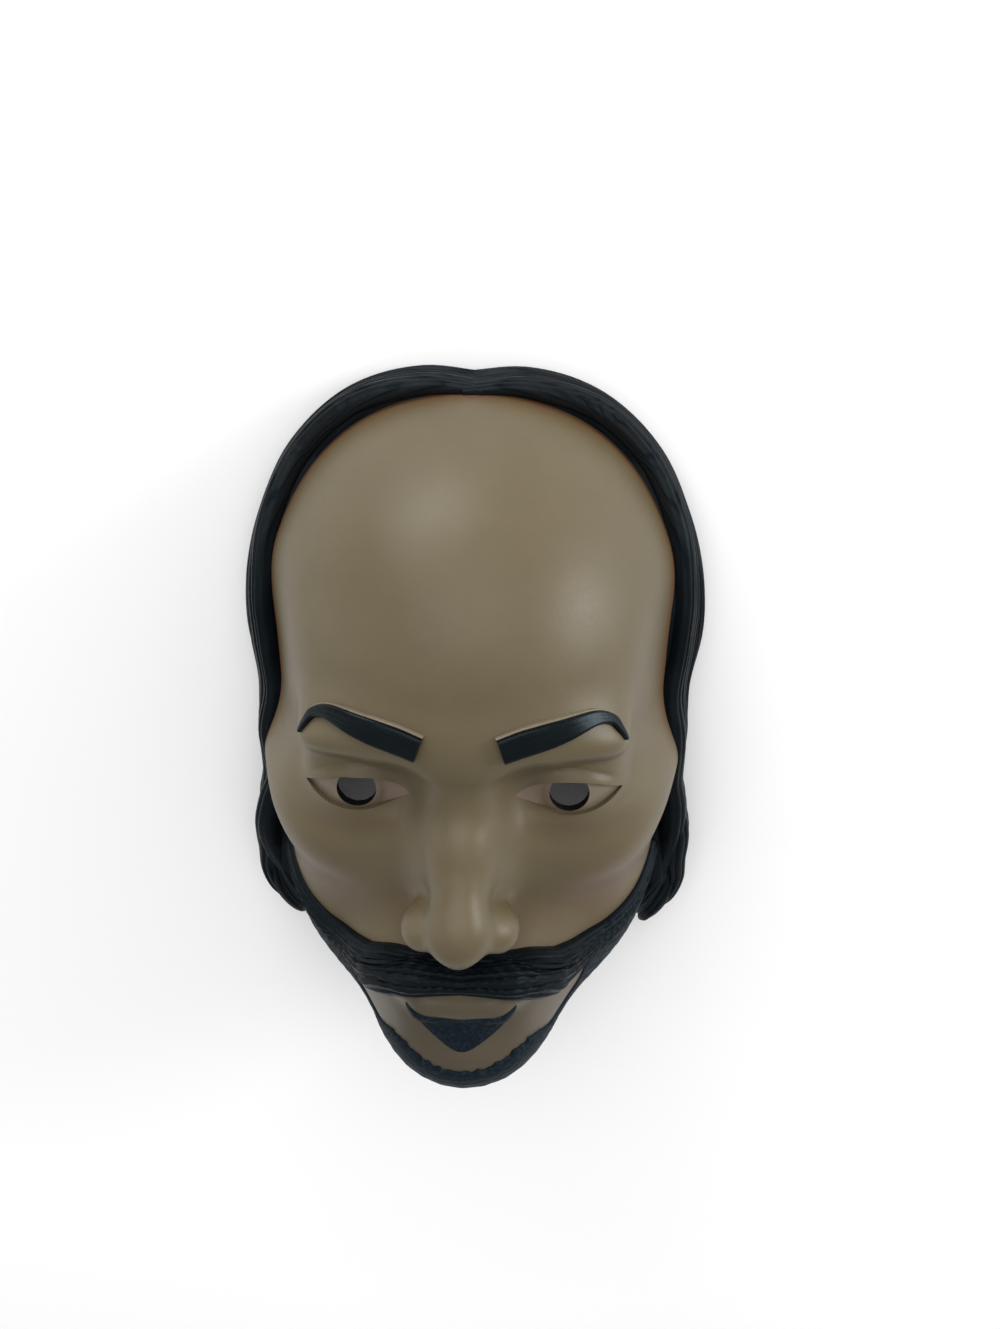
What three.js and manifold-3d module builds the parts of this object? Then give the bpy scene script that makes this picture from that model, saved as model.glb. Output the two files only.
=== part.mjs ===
// Moulded mask of a bearded man. Millimetres; the open back lies on z = 0,
// the face looks up (+Z) and the crown points to +Y.
import * as THREE from 'three';
import Module from 'manifold-3d';

// ---- driving dimensions ---------------------------------------------------
const WALL = 3.2;                 // thickness of the shell
const HEAD = { w: 72, h: 82, d: 97, y: 26, z: -8 };      // half sizes of the skull and its centre
const JAW = { w: 61, h: 72, d: 82, y: -36, z: -6 };
const LOWER = { w: 43, h: 36, d: 58, y: -78, z: 20 };
const CHIN = { w: 22, h: 17, d: 24, y: -98, z: 57 };
const EYE = { x: 32, y: -1, z: 60.5, ball: 13.5, lid: 15.7 };
const EYE_HOLE = { r: 6.0, top: 4.3, up: 0.4 };          // see-through hole, flattened under the upper lid
const NECK = { y: -118, z: -6, ry: 58, rz: 46 };         // open arch under the jaw
const MID = 12;                                          // height about which the head is laid out
const FACE_GRID = [40, 45];                              // facets across and upward
const HOLLOW_GRID = [18, 22];
const LOCKS = 5;                                         // hair locks on each side
const LOCK_GRID = [18, 7];
const HAIR = { base: 3.2, sink: 2.2, rows: 20, cols: 5, crest: 4.0 };      // crest: fuller hair beside the parting
const HAIRLINE = [[-60, 20], [-40, 21], [-20, 21.5], [0, 21.5], [30, 20], [60, 16], [90, 11.5]];
const MOUSTACHE = {
  line: [[-1.5, -56.6, 90], [12, -57.4, 88], [25, -61.5, 82], [37, -66.5, 72], [47, -67, 60], [55, -62.5, 46], [61, -56, 32], [64, -50, 22]],
  half: [6.6, 7.6, 8.4, 8.0, 6.6, 5.2, 4.6, 4.4, 4.4],
  rise: [3.4, 5.4, 6.0, 5.2, 3.6, 2.6, 2.2, 2.0, 2.0],
};
const BROW = {
  line: [[11.5, 21.8, 90], [20, 24.6, 90], [30, 26.8, 86], [38, 27.4, 79], [43.2, 25.6, 75.3], [46.3, 22.4, 75], [47.4, 18.6, 73.8]],
  half: [3.8, 3.9, 3.7, 3.2, 2.4, 1.5, 0.6],
  rise: [2.3, 2.4, 2.4, 2.3, 2.1, 1.7, 1.0],
};
// Short beard round the jaw, from the middle of the chin to the ear: its upper and its lower edge.
const BEARD = {
  upper: [[0, -100, 82.2], [7.6, -99.2, 81], [13.4, -97, 78.8], [18.2, -94.4, 75.5], [22.4, -92.8, 71], [25.8, -94, 65.8], [28.8, -96, 60.3], [31.4, -94.6, 56.8], [34.3, -91.4, 53.6], [38, -86.5, 52.5], [42.3, -77, 55.3], [47.5, -69.3, 54.5], [53, -64, 46], [58, -59, 37], [62.2, -52.5, 27]],
  lower: [[0, -117.3, 54], [10, -115.5, 53.5], [20, -111, 50.5], [28, -103.8, 47], [34, -97.5, 44], [38.5, -93.5, 41.3], [43.5, -89.2, 38.4], [48.5, -85, 35.8], [53, -80, 32.8], [57, -74, 29.4], [60.5, -67.5, 25.5], [63.2, -60, 21], [65, -51.5, 16]],
  rise: [1.9, 1.8, 1.5, 1.1, 0.9, 0.9, 1.1, 1.4, 1.6],
};
const LIP_PATCH = { half: 16.5, top: -75.5, length: 17, rise: 1.4, corner: 4.2 };

const SKIN = new THREE.MeshStandardMaterial({ color: 0x8a7860, roughness: 0.42, metalness: 0 });

// ---- vectors --------------------------------------------------------------
const add = (a, b, k = 1) => [a[0] + b[0] * k, a[1] + b[1] * k, a[2] + b[2] * k];
const sub = (a, b) => [a[0] - b[0], a[1] - b[1], a[2] - b[2]];
const dot = (a, b) => a[0] * b[0] + a[1] * b[1] + a[2] * b[2];
const len = (a) => Math.sqrt(dot(a, a));
const unit = (a) => { const l = len(a) || 1; return [a[0] / l, a[1] / l, a[2] / l]; };
const cross = (a, b) => [a[1] * b[2] - a[2] * b[1], a[2] * b[0] - a[0] * b[2], a[0] * b[1] - a[1] * b[0]];
const clamp = (x, a, b) => Math.min(b, Math.max(a, x));
const smooth = (a, b, x) => { const t = clamp((x - a) / (b - a), 0, 1); return t * t * (3 - 2 * t); };
const lerpTable = (T, x) => {
  if (x <= T[0][0]) return T[0][1];
  for (let i = 1; i < T.length; i++) {
    if (x <= T[i][0]) return T[i - 1][1] + (T[i][1] - T[i - 1][1]) * (x - T[i - 1][0]) / (T[i][0] - T[i - 1][0]);
  }
  return T[T.length - 1][1];
};
const along = (A, s) => A.length === 1 ? A[0] : lerpTable(A.map((v, i) => [i / (A.length - 1), v]), s);

// ---- rounded bodies as distances -----------------------------------------
function ell(x, y, z, cx, cy, cz, rx, ry, rz) {
  const a = (x - cx) / rx, b = (y - cy) / ry, c = (z - cz) / rz;
  const k0 = Math.sqrt(a * a + b * b + c * c);
  const k1 = Math.sqrt(a * a / (rx * rx) + b * b / (ry * ry) + c * c / (rz * rz)) + 1e-9;
  return k0 * (k0 - 1) / k1;
}
function ellTurned(x, y, z, cx, cy, cz, rx, ry, rz, deg) {
  const t = deg * Math.PI / 180, c = Math.cos(t), s = Math.sin(t);
  const a = x - cx, b = y - cy;
  return ell(a * c + b * s, -a * s + b * c, z - cz, 0, 0, 0, rx, ry, rz);
}
function capsule(x, y, z, a, b, ra, rb) {
  const ab = sub(b, a), p = [x - a[0], y - a[1], z - a[2]];
  const h = clamp(dot(p, ab) / dot(ab, ab), 0, 1);
  return len(add(p, ab, -h)) - (ra + (rb - ra) * h);
}
const join = (a, b, k) => { const h = Math.max(k - Math.abs(a - b), 0) / k; return Math.min(a, b) - h * h * k * 0.25; };
const carve = (a, b, k) => -join(-a, b, k);   // b is the distance to the body taken away

// Plain masses of the head: skull, jaw, cheekbones, brow ridge, sockets.
function masses(x, y, z) {
  const s = Math.sqrt(x * x + 2);
  let d = ell(x, y, z, 0, HEAD.y, HEAD.z, HEAD.w, HEAD.h, HEAD.d);
  d = join(d, ell(x, y, z, 0, JAW.y, JAW.z, JAW.w, JAW.h, JAW.d), 24);
  d = join(d, ell(x, y, z, 0, LOWER.y, LOWER.z, LOWER.w, LOWER.h, LOWER.d), 24);
  d = join(d, ell(x, y, z, 0, CHIN.y, CHIN.z, CHIN.w, CHIN.h, CHIN.d), 20);
  d = join(d, ell(s, y, z, 46, -13, 20, 20, 13, 36), 22);
  d = join(d, ell(s, y, z, 36, -25, 45, 19, 15, 21), 20);
  d = join(d, ell(s, y, z, 39, -56, 12, 18, 28, 30), 26);
  d = join(d, ell(x, y, z, 0, -66, 58, 29, 20, 27), 14);
  d = join(d, ellTurned(s, y, z, 25, 18, 70, 23, 8, 14, -4), 14);
  d = join(d, ell(x, y, z, 0, 17, 73, 14, 10, 14), 12);
  d = carve(d, ell(s, y, z, 80, 24, 50, 16, 26, 30), 24);
  d = carve(d, ellTurned(s, y, z, 34, -1, 88, 19, 12, 17.5, -4), 13);
  return carve(d, ell(s, y, z, 19, 0, 92, 8, 10, 16), 9);
}
function nose(x, y, z, wings) {
  const s = Math.sqrt(x * x + 2);
  let n = capsule(x, y, z, [0, 9, 75.5], [0, -12, 85], 7, 6.8);
  n = join(n, capsule(x, y, z, [0, -12, 85], [0, -31, 94.5], 6.8, 8), 6);
  n = join(n, ell(x, y, z, 0, -21, 70, 16, 25, 19), 10);
  n = join(n, ell(x, y, z, 0, -36.5, 96.5, 9.4, 8.8, 9.8), 7);
  if (!wings) return n;
  n = join(n, ell(s, y, z, 11.6, -39.6, 87.5, 6.4, 6.8, 8.8), 6);
  return join(n, capsule(x, y, z, [0, -44.6, 85], [0, -42.8, 97], 4, 3.6), 4);
}
// The face: masses, nose, lips and lidded eyes. fine = false leaves out the
// seam of the lips, the nostrils and the lid openings.
function face(x, y, z, fine = true) {
  const s = Math.sqrt(x * x + 2);
  let d = join(masses(x, y, z), nose(x, y, z, true), 7);
  if (fine) d = carve(d, ell(s, y, z, 6.4, -47, 91.5, 2.9, 5.4, 5.6), 2.4);
  d = carve(d, ell(x, y, z, 0, -84, 96, 26, 7, 15), 11);
  const upper = join(capsule(s, y, z, [0, -62.8, 83.2], [12, -63.2, 81], 3.9, 3.9), capsule(s, y, z, [12, -63.2, 81], [25, -66.6, 72], 3.9, 1.6), 3);
  const lower = join(capsule(s, y, z, [0, -71.2, 83.4], [11, -71, 81.9], 5.1, 4.9), capsule(s, y, z, [11, -71, 81.9], [24.5, -67.4, 72.5], 4.9, 1.8), 4);
  d = join(join(d, upper, 4), lower, 4);
  if (fine) {
    const seam = join(capsule(s, y, z, [0, -66.9, 89], [10, -66.4, 87.5], 1.1, 1.1), capsule(s, y, z, [10, -66.4, 87.5], [25, -66.9, 77], 1.1, 0.7), 1);
    d = carve(d, seam, 2.2);
  }
  const ex = s - EYE.x, ey = y - EYE.y, ez = z - EYE.z;
  const r = Math.sqrt(ex * ex + ey * ey + ez * ez);
  const u = ex / 14.8;
  let open = 9;
  if (Math.abs(u) <= 1.05) {
    const up = 5.4 * (1 - Math.abs(u + 0.10) ** 2.3 / 1.10 ** 2.3) + 0.9 * u - 0.2;
    const lo = -5.9 * (1 - Math.abs(u - 0.12) ** 2.0 / 1.12 ** 2.0) + 0.9 * u - 0.2;
    open = Math.max(ey - up, lo - ey);
  }
  let lid = Math.sqrt((ex / 1.08) ** 2 + ey * ey + ez * ez) - EYE.lid;
  if (fine) lid = -join(-lid, open * 0.9, 1.1);
  d = join(d, lid, 3.4 + 4.5 * smooth(-4, -10, ey));
  return fine ? Math.min(d, r - EYE.ball) : d;
}
const plain = (x, y, z) => face(x, y, z, false);
// Surface of the hollow, WALL inside the masses and the nose.
function hollow(x, y, z) {
  const s = Math.sqrt(x * x + 2);
  let d = join(masses(x, y, z), nose(x, y, z, false), 9);
  d = join(d, Math.hypot(s - EYE.x, y - EYE.y, z - EYE.z) - 14.2, 5);
  d = carve(d, ell(x, y, z, 0, -84, 96, 26, 7, 15), 11);
  return d + WALL;
}
function slope(f, p) {
  const e = 0.05;
  return unit([f(p[0] + e, p[1], p[2]) - f(p[0] - e, p[1], p[2]), f(p[0], p[1] + e, p[2]) - f(p[0], p[1] - e, p[2]), f(p[0], p[1], p[2] + e) - f(p[0], p[1], p[2] - e)]);
}
function snap(f, p, n) {
  for (let i = 0; i < n; i++) p = add(p, slope(f, p), -f(...p) * 0.9);
  return p;
}

// ---- skins ----------------------------------------------------------------
// n + 1 steps from -1 to 1, closest together where the weight is high.
function steps(n, weight) {
  const N = 800, total = [0];
  for (let i = 0; i < N; i++) total.push(total[i] + weight(-1 + 2 * (i + 0.5) / N));
  const T = total.map((t, i) => [t / total[N], -1 + 2 * i / N]);
  return Array.from({ length: n + 1 }, (_, i) => lerpTable(T, i / n));
}
const bump = (t, at, w) => Math.exp(-(((t - at) / w) ** 2));
const across = (t) => 0.45 + 1.5 * bump(Math.abs(t), 0.1, 0.08) + 1.0 * bump(Math.abs(t), 0.3, 0.12) + 0.7 * bump(t, 0, 0.05);
const upward = (t) => 0.40 + 1.4 * bump(t, -0.1, 0.075) + 2.0 * bump(t, -0.33, 0.07) + 0.7 * bump(t, -0.5, 0.12) + 0.4 * bump(t, 0.06, 0.06);
const plainly = (t) => 1 + bump(t, 0, 0.5);
// Rays over the front half space from (0, MID, 0), laid out as a square grid,
// then evened out along the surface over some rounds; the border stays on z = 0.
function skin(f, nu, nv, wu, wv, rounds, fineness) {
  const su = steps(nu, wu), sv = steps(nv, wv);
  let P = su.map((u) => sv.map((v) => {
    const X = u * Math.sqrt(1 - v * v / 2), Y = v * Math.sqrt(1 - u * u / 2);
    const rho = Math.hypot(X, Y), a = rho * Math.PI / 2, k = rho > 1e-9 ? Math.sin(a) / rho : Math.PI / 2;
    const D = unit([X * k, Y * k, Math.max(Math.cos(a), 0)]);
    let t = 175;
    for (let n = 0; n < 90; n++) {
      const d = f(D[0] * t, MID + D[1] * t, D[2] * t);
      t -= Math.max(d * 0.7, -0.5);
      if (Math.abs(d) < 0.002) break;
    }
    return [D[0] * t, MID + D[1] * t, D[2] * t];
  }));
  for (let n = 0; n < rounds; n++) {
    const W = P.map((r) => r.map(fineness)), Q = P.map((r) => r.slice());
    for (let i = 1; i < nu; i++) {
      for (let j = 1; j < nv; j++) {
        let s = [0, 0, 0], w = 0;
        for (const [a, b] of [[i + 1, j], [i - 1, j], [i, j + 1], [i, j - 1]]) { s = add(s, P[a][b], W[a][b]); w += W[a][b]; }
        const N = slope(f, P[i][j]), m = sub(s.map((x) => x / w), P[i][j]);
        const p = snap(f, add(P[i][j], add(m, N, -dot(m, N)), 0.6), 3);   // only along the surface
        p[2] = Math.max(p[2], 0.05);
        Q[i][j] = p;
      }
    }
    P = Q;
  }
  return P;
}
function fineness(p) {
  const g = (cx, cy, cz, rx, ry, rz) => Math.exp(-(((Math.abs(p[0]) - cx) / rx) ** 2) - (((p[1] - cy) / ry) ** 2) - (((p[2] - cz) / rz) ** 2));
  const w = 1 + 4.5 * g(32, -1, 70, 15, 10, 16) + 6 * g(6, -38, 94, 13, 18, 18) + 1.8 * g(8, -68, 84, 24, 12, 16);
  return w * (0.5 + 0.5 * smooth(10, 34, p[2]));
}

// ---- closed bodies --------------------------------------------------------
const wasm = await Module();
wasm.setup();
const { Manifold, Mesh } = wasm;
function body(V, F) {
  const vertProperties = new Float32Array(V.length * 3);
  V.forEach((v, i) => vertProperties.set(v, i * 3));
  return new Manifold(new Mesh({ numProp: 3, vertProperties, triVerts: new Uint32Array(F.flat()) }));
}
const body3 = ({ V, F }) => body(V, [F]);
const quad = (a, b, c, d) => [[a, b, c], [a, c, d]];
// Grid closed by a skirt down to the level z = low and a floor there.
function dome(P, low) {
  const nu = P.length, nv = P[0].length, V = P.flat(), F = [];
  const at = (i, j) => i * nv + j;
  for (let i = 0; i < nu - 1; i++) for (let j = 0; j < nv - 1; j++) F.push(...quad(at(i, j), at(i + 1, j), at(i + 1, j + 1), at(i, j + 1)));
  const ring = [];
  for (let j = 0; j < nv; j++) ring.push(at(0, j));
  for (let i = 1; i < nu; i++) ring.push(at(i, nv - 1));
  for (let j = nv - 2; j >= 0; j--) ring.push(at(nu - 1, j));
  for (let i = nu - 2; i > 0; i--) ring.push(at(i, 0));
  const skirt = ring.map((k) => { V.push([V[k][0], V[k][1], low]); return V.length - 1; });
  V.push([0, MID - 10, low]);
  const c = V.length - 1, m = ring.length;
  for (let k = 0; k < m; k++) {
    const n = (k + 1) % m;
    F.push(...quad(ring[k], ring[n], skirt[n], skirt[k]), [skirt[k], skirt[n], c]);
  }
  return body(V, F);
}
// Relief of height H over the surface grid P with normals N, sunk below it.
function relief(P, N, H, sink) {
  const nu = P.length, nv = P[0].length, n = nu * nv, V = [], F = [];
  for (const k of [1, 0]) for (let i = 0; i < nu; i++) for (let j = 0; j < nv; j++) V.push(add(P[i][j], N[i][j], k ? H[i][j] : -sink));
  const at = (i, j) => i * nv + j;
  for (let i = 0; i < nu - 1; i++) {
    for (let j = 0; j < nv - 1; j++) {
      const q = [at(i, j), at(i + 1, j), at(i + 1, j + 1), at(i, j + 1)];
      F.push(...quad(...q), ...quad(q[3] + n, q[2] + n, q[1] + n, q[0] + n));
    }
  }
  const ring = [];
  for (let i = 0; i < nu; i++) ring.push(at(i, 0));
  for (let j = 1; j < nv; j++) ring.push(at(nu - 1, j));
  for (let i = nu - 2; i >= 0; i--) ring.push(at(i, nv - 1));
  for (let j = nv - 2; j > 0; j--) ring.push(at(0, j));
  ring.forEach((a, k) => { const b = ring[(k + 1) % ring.length]; F.push(...quad(b, a, a + n, b + n)); });
  const turn = dot(cross(sub(P[1][0], P[0][0]), sub(P[0][1], P[0][0])), N[0][0]) < 0;
  return body(V, turn ? F.map((f) => [f[0], f[2], f[1]]) : F);
}
function curve(K, n) {
  const C = new THREE.CatmullRomCurve3(K.map((k) => new THREE.Vector3(...k)), false, 'catmullrom', 0.5);
  return C.getSpacedPoints(n - 1).map((v) => [v.x, v.y, v.z]);
}
const tangents = (C) => C.map((c, i) => unit(sub(C[Math.min(i + 1, C.length - 1)], C[Math.max(i - 1, 0)])));
function strip({ line, half, rise }, n, m, sink = 2, round = 0.5, flat = 2.4) {
  const C = curve(line, n).map((p) => snap(plain, p, 8));
  const T = tangents(C), P = [], N = [], H = [];
  for (let i = 0; i < n; i++) {
    const s = i / (n - 1), nn = slope(plain, C[i]), W = unit(cross(T[i], nn));
    const row = [];
    for (let j = 0; j < m; j++) row.push(snap(plain, add(C[i], W, along(half, s) * (-1 + 2 * j / (m - 1))), 6));
    P.push(row);
    N.push(row.map((p) => slope(plain, p)));
    H.push(row.map((p, j) => 0.25 + along(rise, s) * Math.max(1 - Math.abs(-1 + 2 * j / (m - 1)) ** flat, 0) ** round));
  }
  return relief(P, N, H, sink);
}
// A band that runs from ear to ear between two edges, each given from the middle to one side.
function band({ upper, lower, rise }, n, m, sink = 2) {
  const whole = (K) => curve([...K.slice(1).reverse().map(([x, y, z]) => [-x, y, z]), ...K], n);
  const U = whole(upper), L = whole(lower), P = [], N = [], H = [];
  for (let i = 0; i < n; i++) {
    const row = [];
    for (let j = 0; j < m; j++) row.push(snap(plain, add(U[i], sub(L[i], U[i]), j / (m - 1)), 10));
    P.push(row);
    N.push(row.map((p) => slope(plain, p)));
    H.push(row.map((p, j) => 0.25 + along(rise, Math.abs(2 * i / (n - 1) - 1)) * Math.max(1 - Math.abs(-1 + 2 * j / (m - 1)) ** 2.4, 0) ** 0.5));
  }
  return relief(P, N, H, sink);
}
const both = (b) => [b, b.mirror([1, 0, 0])];

// ---- hair -----------------------------------------------------------------
const hairline = (beta) => lerpTable(HAIRLINE, beta);
function sidePoint(beta, z, out) {
  const b = beta * Math.PI / 180, c = Math.cos(b), s = Math.sin(b);
  let t = 160;
  for (let i = 0; i < 60; i++) { const d = plain(c * t, MID + s * t, z); t -= d * 0.8; if (Math.abs(d) < 0.004) break; }
  return [c * (t + out), MID + s * (t + out), z];
}
// How far hair stands off the head: low at the parting, full beside it, close to the cheek.
const crest = (b) => HAIR.crest * Math.exp(-(((b - 60) / 18) ** 2));
const fullness = (b) => HAIR.base * (0.5 + 0.5 * smooth(93, 82, b)) * (1 - 0.6 * smooth(12, -20, b)) + 0.5 * crest(b);
// Hair lying on the head from the parting to below the cheek.
function hairBase() {
  const P = [], N = [], H = [];
  for (let i = 0; i < HAIR.rows; i++) {
    const b = 93 - 133 * i / (HAIR.rows - 1), hl = hairline(b) * (1 - 0.25 * smooth(-10, -40, b));
    const row = [];
    for (let j = 0; j < HAIR.cols; j++) row.push(sidePoint(b, -2 + (hl + 2) * (j / (HAIR.cols - 1)) ** 0.8, 0));
    P.push(row);
    N.push(row.map((p) => slope(plain, p)));
    H.push(row.map((p, j) => 0.3 + fullness(b) * Math.max(1 - (j / (HAIR.cols - 1)) ** 8, 0) ** 0.5));
  }
  return relief(P, N, H, HAIR.sink);
}
// One lock: from the parting round the temple, then falling free past the jaw
// to a blunt inturned end. The front locks end higher and further in.
const FALL = [[67.5, -26], [70, -37], [72, -48], [72.2, -59], [70, -70], [65.5, -80]];
function lockLine(j, side) {
  const f0 = (j + 0.35) / LOCKS, K = [];
  const angles = [92, 80, 66, 52, 38, 24, 10, -4, -16];
  let z = 0;
  for (const b of angles) {
    const w = 0.10 * Math.sin(b * Math.PI / 180 * 2.2 + j * 1.9 + side * 0.7);
    z = hairline(b) * (1 - clamp(f0 + w * smooth(92, 60, b), 0.06, 0.97)) + 1;
    K.push(sidePoint(b, z, 0.6 + 2.2 * smooth(92, 76, b) + 0.8 * crest(b) - 5.0 * smooth(8, -18, b)));
  }
  const ahead = 1 - j / (LOCKS - 1);
  FALL.forEach(([x, y], i) => {
    const t = (i + 1) / FALL.length;
    K.push([
      x + 1.1 * Math.sin(j * 2.1 + i * 1.3 + side) - 3.5 * ahead * t,
      y + (2.0 * Math.sin(j * 1.7 + side * 2) + 8 * ahead) * t,
      11 + (z - 11) * (1 - 0.42 * t) + 1.2 * Math.sin(i * 1.1 + j * 1.4),
    ]);
  });
  return K;
}
// Closed tapered tube along C; half width a across and half thickness b towards facing
// (away from the head when none is given), both by length.
function tube(C, m, a, b, facing) {
  const n = C.length, T = tangents(C), V = [], F = [];
  C.forEach((c, i) => {
    const s = i / (n - 1), low = smooth(-10, -50, c[1]);
    let O = unit([c[0], c[1] - MID, 0]);
    O = facing ?? add([O[0] * (1 - low), O[1] * (1 - low), 0.12], [1, 0, 0.18], low);
    O = unit(add(O, T[i], -dot(O, T[i]) / dot(T[i], T[i])));
    const B = cross(T[i], O);
    for (let k = 0; k < m; k++) {
      const ph = 2 * Math.PI * k / m;
      V.push(add(add(c, B, a(s) * Math.cos(ph)), O, b(s) * Math.sin(ph)));
    }
  });
  for (let i = 0; i < n - 1; i++) for (let k = 0; k < m; k++) { const q = (k + 1) % m; F.push(...quad(i * m + q, i * m + k, (i + 1) * m + k, (i + 1) * m + q)); }
  V.push(C[0], C[n - 1]);
  for (let k = 0; k < m; k++) {
    const q = (k + 1) % m;
    F.push([k, q, n * m], [(n - 1) * m + q, (n - 1) * m + k, n * m + 1]);
  }
  return body(V, F);
}
const blunt = (s) => 0.3 + 0.7 * Math.sqrt(1 - smooth(0.84, 1.03, s) ** 2);
const lock = (j, side) => tube(
  curve(lockLine(j, side), LOCK_GRID[0]), LOCK_GRID[1],
  (s) => (2.5 + 0.9 * smooth(0, 0.15, s) + 1.9 * smooth(0.55, 0.75, s)) * blunt(s),
  (s) => (2.2 + 1.5 * smooth(0, 0.15, s) + 0.9 * smooth(0.58, 0.78, s)) * blunt(s),
);
// Bulk of the falling hair, which the locks lie over.
const CORE = {
  line: [[60, -18, 13], [62, -32, 13], [64, -46, 13], [65.5, -58, 12.5], [65, -69, 12], [62, -78, 11.5], [58, -83, 11]],
  half: [5, 8.5, 10, 10.5, 10, 8.5, 6],
  thick: [2.5, 4.5, 6, 7, 7, 6, 4],
};
const core = () => tube(curve(CORE.line, 10), 9, (s) => along(CORE.half, s) * blunt(s), (s) => along(CORE.thick, s) * blunt(s));
// Locks lying over the front of the bulk: one in an S down the outside, the rest curling in under the cheek.
const CURLS = [
  { line: [[66.5, -10, 18], [67, -23, 19], [69.5, -35, 19.5], [71.8, -46, 19.5], [72, -56, 18.5], [72.8, -65, 16.5], [70.5, -74, 14.5], [66, -81.5, 12.5]], half: [2.4, 2.8, 3.8, 4.8, 4.4, 3.4, 3.2, 2.2], thick: [2, 3, 3.4, 3.6, 3.4, 3, 3, 2.4] },
  { line: [[66.5, -38, 17], [65, -48, 18.5], [61.8, -58, 19], [58.3, -66, 18], [55.8, -72.5, 16]], half: [2.6, 3.4, 3.6, 3.2, 2], thick: [2.4, 3, 3.2, 3, 2.2] },
  { line: [[68.5, -49, 16], [67.5, -58, 18], [64.5, -67, 18.5], [60.8, -74.5, 17.5], [57.5, -80, 15]], half: [2.6, 3.4, 3.6, 3.4, 2.2], thick: [2.4, 3, 3.2, 3, 2.2] },
  { line: [[70.5, -59, 15], [69.8, -67, 16.5], [67.3, -75, 16.5], [64, -81.5, 15], [61.8, -86.5, 12.5]], half: [2.6, 3.4, 3.6, 3.2, 1.6], thick: [2.4, 3, 3.2, 3, 2] },
];
const curl = ({ line, half, thick }) => tube(curve(line, 2 * line.length - 2), 6, (s) => along(half, s) * blunt(s), (s) => along(thick, s) * blunt(s), [0.35, -0.1, 1]);

// ---- patch under the lower lip -------------------------------------------
function lipPatch() {
  const n = 6, m = 7, P = [], N = [], H = [];
  for (let i = 0; i < n; i++) {
    const t = i / (n - 1), row = [];
    for (let j = 0; j < m; j++) {
      const v = -1 + 2 * j / (m - 1);
      const p = [v * (LIP_PATCH.half * (1 - t ** 1.9) ** 0.75 + 0.9), LIP_PATCH.top - LIP_PATCH.length * t + LIP_PATCH.corner * v * v * (1 - t), 120];
      for (let k = 0; k < 80; k++) p[2] -= plain(...p) * 0.75;
      row.push(p);
    }
    P.push(row);
    N.push(row.map((p) => slope(plain, p)));
    H.push(row.map((p, j) => 0.2 + LIP_PATCH.rise * Math.sqrt((1 - Math.abs(-1 + 2 * j / (m - 1)) ** 5) * (1 - Math.abs(2 * t - 1) ** 6))));
  }
  return relief(P, N, H, 2);
}

// ---- cutters --------------------------------------------------------------
function fromThree(geometry, matrix) {
  const g = geometry.index ? geometry.toNonIndexed() : geometry;
  g.applyMatrix4(matrix);
  const a = g.attributes.position, V = [], F = [], seen = new Map(), id = [];
  for (let i = 0; i < a.count; i++) {
    const p = [a.getX(i), a.getY(i), a.getZ(i)], k = p.map((x) => x.toFixed(4)).join();
    if (!seen.has(k)) { seen.set(k, V.length); V.push(p); }
    id.push(seen.get(k));
  }
  for (let i = 0; i < id.length; i += 3) if (new Set(id.slice(i, i + 3)).size === 3) F.push(id.slice(i, i + 3));
  return body(V, F);
}
function eyeHole(side) {
  const pts = [];
  for (let i = 0; i < 22; i++) {
    const a = 2 * Math.PI * i / 22;
    pts.push(new THREE.Vector2(side * EYE.x + EYE_HOLE.r * Math.cos(a), EYE.y + EYE_HOLE.up + Math.min(EYE_HOLE.r * Math.sin(a), EYE_HOLE.top)));
  }
  const shape = new THREE.Shape(pts);
  return fromThree(new THREE.ExtrudeGeometry(shape, { depth: 80, bevelEnabled: false }), new THREE.Matrix4().makeTranslation(0, 0, 30));
}
const neckArch = fromThree(
  new THREE.CylinderGeometry(1, 1, 200, 48),
  new THREE.Matrix4().makeTranslation(0, NECK.y, NECK.z)
    .multiply(new THREE.Matrix4().makeScale(1, NECK.ry, NECK.rz))
    .multiply(new THREE.Matrix4().makeRotationZ(Math.PI / 2)),
);
const below = fromThree(new THREE.BoxGeometry(400, 400, 40), new THREE.Matrix4().makeTranslation(0, 0, -20));

// ---- the mask -------------------------------------------------------------
const front = dome(skin(face, ...FACE_GRID, across, upward, 9, fineness), -3).subtract(neckArch);
const raised = [
  ...both(strip(MOUSTACHE, 21, 6)),
  ...both(strip(BROW, 11, 4, 2, 0.22, 6)),
  band(BEARD, 33, 5),
  lipPatch(),
  ...both(hairBase()),
  ...both(core()),
  ...CURLS.flatMap((c) => both(curl(c))),
];
for (let j = 0; j < LOCKS; j++) raised.push(lock(j, 1), lock(j, -1).mirror([1, 0, 0]));
const shell = Manifold.union([front, ...raised])
  .subtract(dome(skin(hollow, ...HOLLOW_GRID, plainly, plainly, 6, () => 1), -8))
  .subtract(eyeHole(1)).subtract(eyeHole(-1))
  .subtract(below);

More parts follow.
